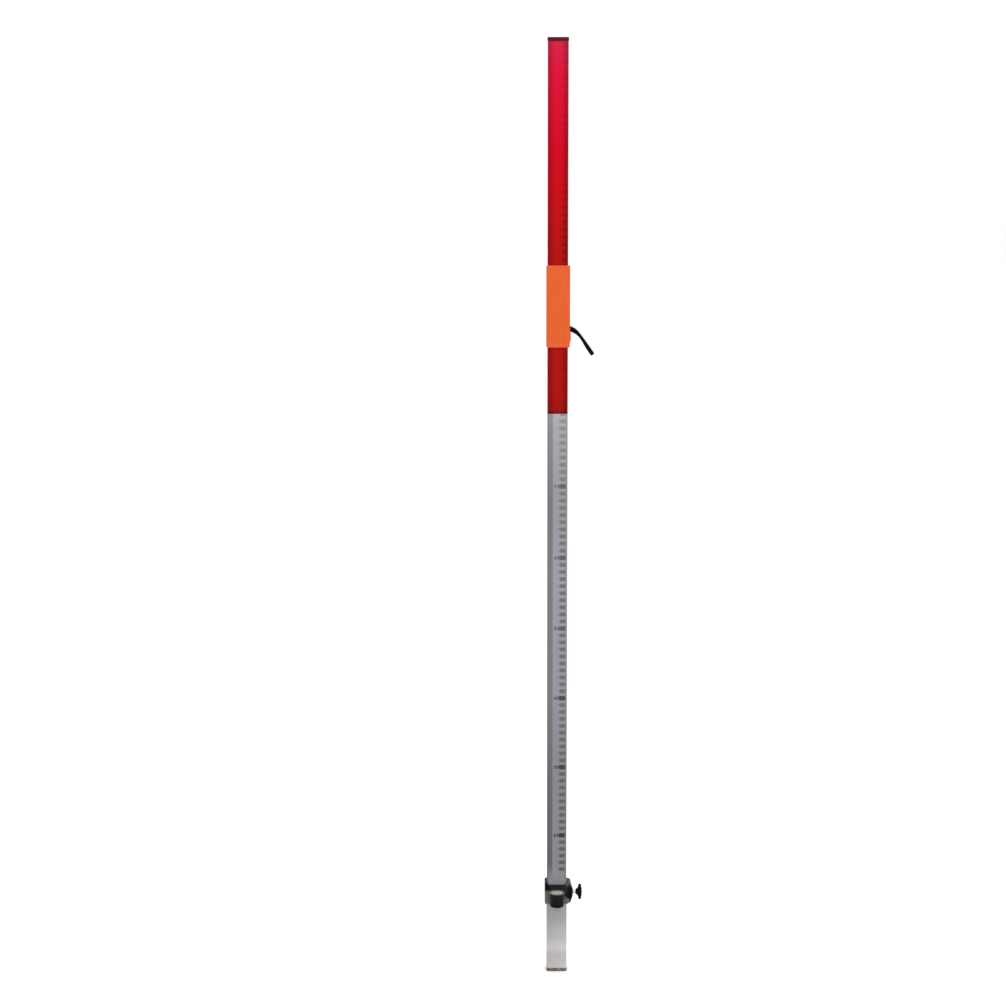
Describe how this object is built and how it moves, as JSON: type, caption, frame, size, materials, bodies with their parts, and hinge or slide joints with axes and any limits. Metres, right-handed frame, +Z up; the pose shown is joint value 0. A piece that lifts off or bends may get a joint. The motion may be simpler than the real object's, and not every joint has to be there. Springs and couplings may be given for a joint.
{
  "type": "laser leveling rod",
  "caption": "Telescopic rectangular levelling rod with a red and grey scale, a receiver slide with clamping lever, a lock collar with wing screw, and a circular level.",
  "frame": {"origin": "centre of the base plate's underside, on the ground", "axes": "+Z up along the rod, the scale faces -Y, the wing screw and the lever's arm point to +X"},
  "size_m": [0.0673, 0.0654, 1.3056],
  "materials": {
    "profile_aluminium": "anodised satin, with fine lines along the extrusion",
    "boot_aluminium": "bright satin",
    "base_coating": "dark coating, worn",
    "steel": "zinc-plated",
    "brass": "turned",
    "pale_plastic": "nylon",
    "grey_tape": "printed tape, satin",
    "red_tape": "printed tape, satin",
    "black_plastic": "moulded, fine grain",
    "orange_plastic": "moulded, fine grain",
    "clear_vial": "polished acrylic",
    "vial_liquid": "clear tinted fluid",
    "white_plastic": "plain",
    "black_rubber": "matte"
  },
  "bodies": {
    "foot": {"base_plate": "base_coating", "foot_boot": "boot_aluminium", "foot_plug": "pale_plastic", "base_screws": "steel", "boot_screws": "steel", "inner_tube": "profile_aluminium", "upper_guide": "pale_plastic", "guide_pin": "steel", "stop_spacer": "pale_plastic"},
    "staff": {"staff_profile": "profile_aluminium", "scale_tape_grey": "grey_tape", "scale_tape_red": "red_tape", "top_cap": "black_plastic", "cap_screws": "steel", "lock_collar": "black_plastic", "collar_screws": "steel", "lower_bush": "pale_plastic", "lock_nut": "brass", "vial_gasket": "black_rubber", "vial_cup": "black_plastic", "vial_disc": "white_plastic", "vial_body": "clear_vial", "vial_fluid": "vial_liquid", "vial_ring": "black_plastic", "vial_screws": "steel"},
    "lock_pad": {"lock_pad": "pale_plastic"},
    "wing_screw": {"lock_stud": "steel", "wing_knob": "black_plastic"},
    "carriage": {"carriage_shell": "orange_plastic", "carriage_back": "orange_plastic", "carriage_screws": "steel", "carriage_liners": "pale_plastic", "brake_nut": "brass"},
    "brake": {"brake_shoe": "steel", "brake_lining": "black_rubber"},
    "lever": {"lever_stud": "steel", "lever_handle": "black_plastic"}
  },
  "joints": [
    {"name": "staff_slide", "type": "slide", "parent": "foot", "child": "staff", "axis": [0, 0, 1], "range_m": [0, 1]},
    {"name": "carriage_slide", "type": "slide", "parent": "staff", "child": "carriage", "axis": [0, 0, 1], "range_m": [-0.758, 0.29]},
    {"name": "brake_press", "type": "slide", "parent": "carriage", "child": "brake", "axis": [0, 1, 0], "range_m": [0, 0.0005]},
    {"name": "lever_turn", "type": "hinge", "parent": "brake", "child": "lever", "pos_m": [0, 0.0176, 0.9155], "axis": [0, 1, 0], "range_deg": [0, 180]},
    {"name": "lock_press", "type": "slide", "parent": "staff", "child": "lock_pad", "axis": [1, 0, 0], "range_m": [0, 0.0015]},
    {"name": "knob_turn", "type": "hinge", "parent": "lock_pad", "child": "wing_screw", "pos_m": [0.0156, 0, 0.1162], "axis": [1, 0, 0], "range_deg": [0, 540]}
  ],
  "couplings": [
    {"joint": "lever_turn", "follows": "brake_press", "rad_per_m": 6283.2},
    {"joint": "knob_turn", "follows": "lock_press", "rad_per_m": 6283.2}
  ]
}
